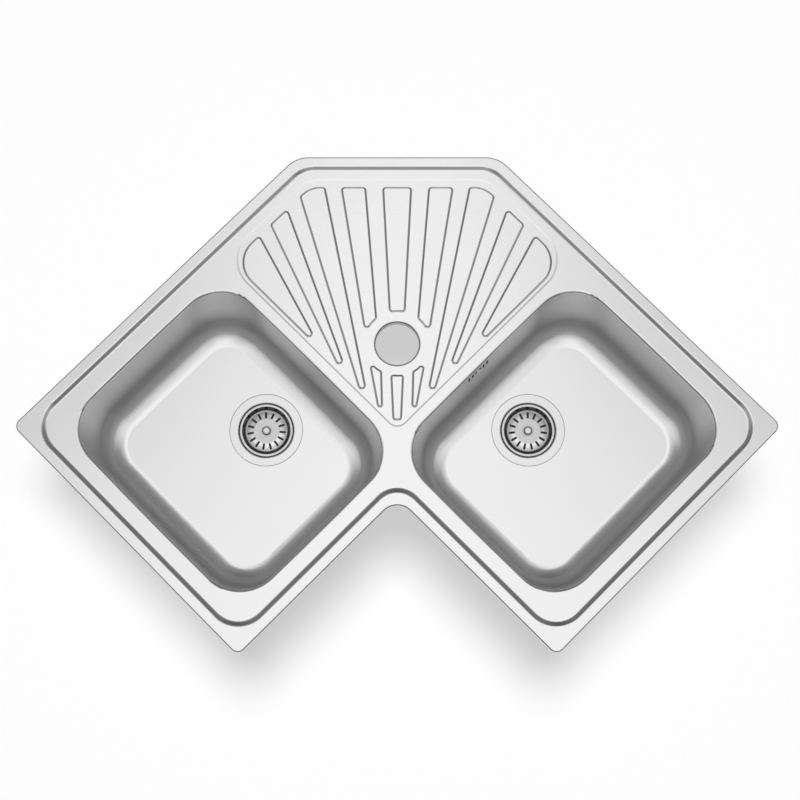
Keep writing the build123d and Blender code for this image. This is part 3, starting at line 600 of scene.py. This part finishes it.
# %% Foam
foam, tree, shader = new_finish("closed_cell_foam", 0)
grain = shared(tree, grain_group, Grain_Scale=500, Cloud_Scale=30)
place = add_node(tree, "ShaderNodeTexCoord").outputs["Object"]
cells = add_node(tree, "ShaderNodeTexVoronoi", Vector=place, Scale=900)
pore = smooth_step(tree, cells.outputs["Distance"], 0.1, 0.5, 0, 1)
color = mix_colors(tree, pore, grey(0.02), grey(0.06))
feed(tree, mix_colors(tree, grain["Cloud"], color, grey(0.05)), shader["Base Color"])
feed(tree, varied(tree, 0.85, (grain["Cloud"], 0.15)), shader["Roughness"])
raise_bumps(tree, shader, pore, 0.6, 0.0004)
print("made", foam.name)

# %% Damping pads
bitumen, tree, shader = new_finish("bitumen_damping_pad", 0)
grain = shared(tree, grain_group, Grain_Scale=700, Cloud_Scale=22)
place = add_node(tree, "ShaderNodeTexCoord").outputs["Object"]
pad_x, pad_y, _ = add_node(tree, "ShaderNodeSeparateXYZ", Vector=place).outputs
diamonds = 500  # the waves' turns a metre, times two pi
one_way = math_node(tree, "SINE", math_node(tree, "MULTIPLY", pad_x, diamonds))
other_way = math_node(tree, "SINE", math_node(tree, "MULTIPLY", pad_y, diamonds))
pressed = smooth_step(tree, math_node(tree, "MULTIPLY", one_way, other_way), -0.15, 0.15, 0, 1)
color = mix_colors(tree, grain["Grain"], grey(0.028, 0.03), grey(0.055, 0.02))
feed(tree, mix_colors(tree, pressed, grey(0.03), color), shader["Base Color"])
feed(tree, varied(tree, 0.72, (grain["Grain"], 0.25), (pressed, -0.1)), shader["Roughness"])
raise_bumps(tree, shader, varied(tree, pressed, (grain["Grain"], 0.5)), 0.7, 0.0005)
print("made", bitumen.name)

# %% [markdown]
# ## Weld beads under the deck
# Each bowl is welded to the collar that hangs from the deck, and the weld stands a little proud on the
# outside. Its path is already in the bowl: the outer edge of the sheet's top. A copy of the bowl is cut
# down to that one edge loop, and a poly curve with even steps runs along it. A curve is the easiest way to
# a long bead, because every point has its own radius, so a slow swelling and shrinking gives the ripples
# that a welder leaves.

# %% Edge loop of a bowl
bead_radius = 0.00068
bead_step = 0.0012
ripple = (1.0, 1.05, 1.12, 1.05)  # swelling of the bead at each step, over and over
same_place = 0.000001
same_height = 0.00001
points_down = -0.01  # upward part of a normal, on the outside of the sheet


def make_active(piece):
    """One piece selected, for the operators that follow."""
    bpy.ops.object.select_all(action="DESELECT")
    piece.select_set(True)
    bpy.context.view_layer.objects.active = piece


def merged_copy(side_name):
    """A bowl's copy with its loose triangles merged and nothing selected."""
    bowl = nodes[f"{side_name}_bowl"]
    copy = bpy.data.objects.new(f"{side_name}_weld_bead", bowl.data.copy())
    scene.collection.objects.link(copy)
    make_active(copy)
    bpy.ops.object.mode_set(mode="EDIT")
    bpy.ops.mesh.select_mode(type="EDGE")
    bpy.ops.mesh.select_all(action="SELECT")
    bpy.ops.mesh.remove_doubles(threshold=same_place)
    bpy.ops.mesh.select_all(action="DESELECT")
    bpy.ops.object.mode_set(mode="OBJECT")
    return copy


def outer_rim(side_name):
    """A bowl's copy with nothing left but the outer edge loop at its weld, as a curve."""
    mesh = merged_copy(side_name).data
    at_weld = [abs(vertex.co.z - weld_height) < same_height for vertex in mesh.vertices]
    edges = {edge.key: edge for edge in mesh.edges}
    for face in mesh.polygons:
        if face.normal.z < points_down:
            for key in face.edge_keys:
                if at_weld[key[0]] and at_weld[key[1]]:
                    edges[key].select = True
    bpy.ops.object.mode_set(mode="EDIT")
    bpy.ops.mesh.duplicate()
    bpy.ops.mesh.select_all(action="INVERT")
    bpy.ops.mesh.delete(type="VERT")
    bpy.ops.object.mode_set(mode="OBJECT")
    bpy.ops.object.convert(target="CURVE")
    return bpy.context.object


print("the welds lie at", round(weld_height, 4), "m")

# %% Beads along the loops
def even_points(corners, step):
    """Points an even step apart along a closed line of corners."""
    points = []
    left_over = 0.0
    for start, end in zip(corners, corners[1:] + corners[:1]):
        length = (end - start).length
        distance = left_over
        while distance < length:
            points.append(start.lerp(end, distance / length))
            distance += step
        left_over = distance - length
    return points


def weld_bead(side_name):
    """The rippled bead round one bowl."""
    bead = outer_rim(side_name)
    corners = [point.co.to_3d() for point in bead.data.splines[0].points]
    bead.data.splines.clear()
    points = even_points(corners, bead_step)
    spline = bead.data.splines.new("POLY")
    spline.points.add(len(points) - 1)
    for index, (point, place) in enumerate(zip(spline.points, points)):
        point.co = (*place, 1)
        point.radius = ripple[index % len(ripple)]
    spline.use_cyclic_u = True
    bead.data.dimensions = "3D"
    bead.data.bevel_depth = bead_radius
    bead.data.bevel_resolution = 2
    make_active(bead)
    bpy.ops.object.convert(target="MESH")
    bead = bpy.context.object
    bead.data.materials.clear()
    bead.data.materials.append(bead_steel)
    bpy.ops.object.shade_smooth()
    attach(bead, "sink")
    return bead


# %% Steel of the beads, and both beads
straw_bead = (0.5, 0.38, 0.24, 1)
blue_bead = (0.3, 0.33, 0.44, 1)
bead_steel, tree, shader = new_finish("heat_tinted_weld", 1)
grain = shared(tree, grain_group, Grain_Scale=1200, Cloud_Scale=45)
straw_to_blue = smooth_step(tree, grain["Cloud"], 0.4, 0.62, 0, 1)
feed(tree, mix_colors(tree, straw_to_blue, straw_bead, blue_bead), shader["Base Color"])
feed(tree, varied(tree, 0.4, (grain["Grain"], 0.2)), shader["Roughness"])
raise_bumps(tree, shader, grain["Grain"], 0.2, 0.0001)
for side_name in side_names:
    bead = weld_bead(side_name)
    print(bead.name, "has", len(bead.data.polygons), "faces")

# %% [markdown]
# ## Threads on the outlets
# The trap screws on to the tail of each waste body, so the tail has a 1 1/2 inch pipe thread: eleven turns
# an inch. A thread is one small triangle swept along a helix, which is what the Screw modifier does. The
# triangle starts as a circle of three corners, and both ends of the finished ridge are closed.

# %% One triangle of the thread
outlet_radius = 0.0239
thread_pitch = 0.0254 / 11
thread_turns = 10
thread_height = 0.0003
thread_root = 0.0002  # how deep the ridge sits in the tail
foot_stretch = 0.45 * thread_pitch  # the base's corners start 0.87 to either side of its middle
tail_chamfer = 0.0012


def thread_triangle(side_name):
    """The lowest cut through the ridge on one waste body's tail."""
    axis_x, axis_y, _ = waste_axis(side_name)
    tail_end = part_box(f"{side_name}_waste_body")[0][2]
    lowest = tail_end + tail_chamfer + thread_pitch / 2
    bpy.ops.object.select_all(action="DESELECT")
    bpy.ops.mesh.primitive_circle_add(vertices=3, radius=1, location=(axis_x, axis_y, lowest))
    thread = bpy.context.object
    thread.name = f"{side_name}_outlet_thread"
    for vertex in thread.data.vertices:
        outwards = (vertex.co.y + 0.5) / 1.5  # 0 at the triangle's base, 1 at its point
        away = outlet_radius - thread_root + outwards * (thread_root + thread_height)
        vertex.co = (away, 0, vertex.co.x * foot_stretch)
    return thread


print("the thread rises", round(thread_pitch * 1000, 2), "mm a turn")

# %% Both threads
steps_a_turn = 48


def outlet_thread(side_name):
    """The helical ridge on one waste body's tail."""
    thread = thread_triangle(side_name)
    screw = thread.modifiers.new("helix", "SCREW")
    screw.axis = "Z"
    screw.angle = math.radians(360)
    screw.screw_offset = thread_pitch
    screw.iterations = thread_turns
    screw.steps = steps_a_turn
    screw.render_steps = steps_a_turn
    bpy.ops.object.modifier_apply(modifier=screw.name)
    bpy.ops.object.transform_apply(location=True, rotation=True, scale=True)
    bpy.ops.object.mode_set(mode="EDIT")
    bpy.ops.mesh.select_all(action="SELECT")
    bpy.ops.mesh.fill_holes(sides=3)
    bpy.ops.mesh.normals_make_consistent(inside=False)
    bpy.ops.object.mode_set(mode="OBJECT")
    bpy.ops.object.shade_smooth_by_angle(angle=math.radians(30))
    thread.data.materials.append(black_plastic)
    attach(thread, "sink")
    return thread


for side_name in side_names:
    thread = outlet_thread(side_name)
    low = min(vertex.co.z for vertex in thread.data.vertices)
    high = max(vertex.co.z for vertex in thread.data.vertices)
    print(thread.name, "runs from", round(low, 4), "to", round(high, 4), "m")

# %% [markdown]
# ## Each node gets its finish
# The record says which slot each node has. A slot with one finish hands it straight on. Deck, bowls and
# turned pieces each have their own version, because grain and rings follow the piece.

# %% Finishes by slot and by node
fastening_steel = turned_finish("polished_steel_fastenings", (0, 0, 0), 0.7, 0.16)
finishes = {
    "zinc_steel": zinc,
    "black_plastic": black_plastic,
    "black_rubber": rubber,
    "seal_foam": foam,
    "damping_pad": bitumen,
    "polished_steel": fastening_steel,
    "satin_steel": satin_deck,
}
own_finish = {}
for side_name in side_names:
    axis = waste_axis(side_name)
    # The basket's and the knob's darker grey than the flange's is painted shade.
    basket_steel = turned_finish(f"turned_steel_{side_name}_basket", axis, 0.62, 0.17, basket_painted_light)
    knob_steel = turned_finish(f"turned_steel_{side_name}_knob", axis, 0.66, 0.14, knob_painted_light)
    own_finish[f"{side_name}_bowl"] = bowl_finish(side_name)
    own_finish[f"{side_name}_basket"] = basket_steel
    own_finish[f"{side_name}_basket_knob"] = knob_steel
    flange_steel = turned_finish(f"turned_steel_{side_name}_flange", axis, 0.84, 0.2)
    own_finish[f"{side_name}_waste_flange"] = flange_steel
print("finishes by slot:", len(finishes), "and by node:", len(own_finish))

# %% Dress the nodes
slots = {row["node"]: row["material_slot"] for row in frame["record"]["subparts"]}
for name, node in nodes.items():
    node.data.materials.clear()
    node.data.materials.append(own_finish.get(name, finishes[slots[name]]))
finish_names = {node.data.materials[0].name for node in nodes.values()}
print("dressed", len(nodes), "nodes with", len(finish_names), "finishes")
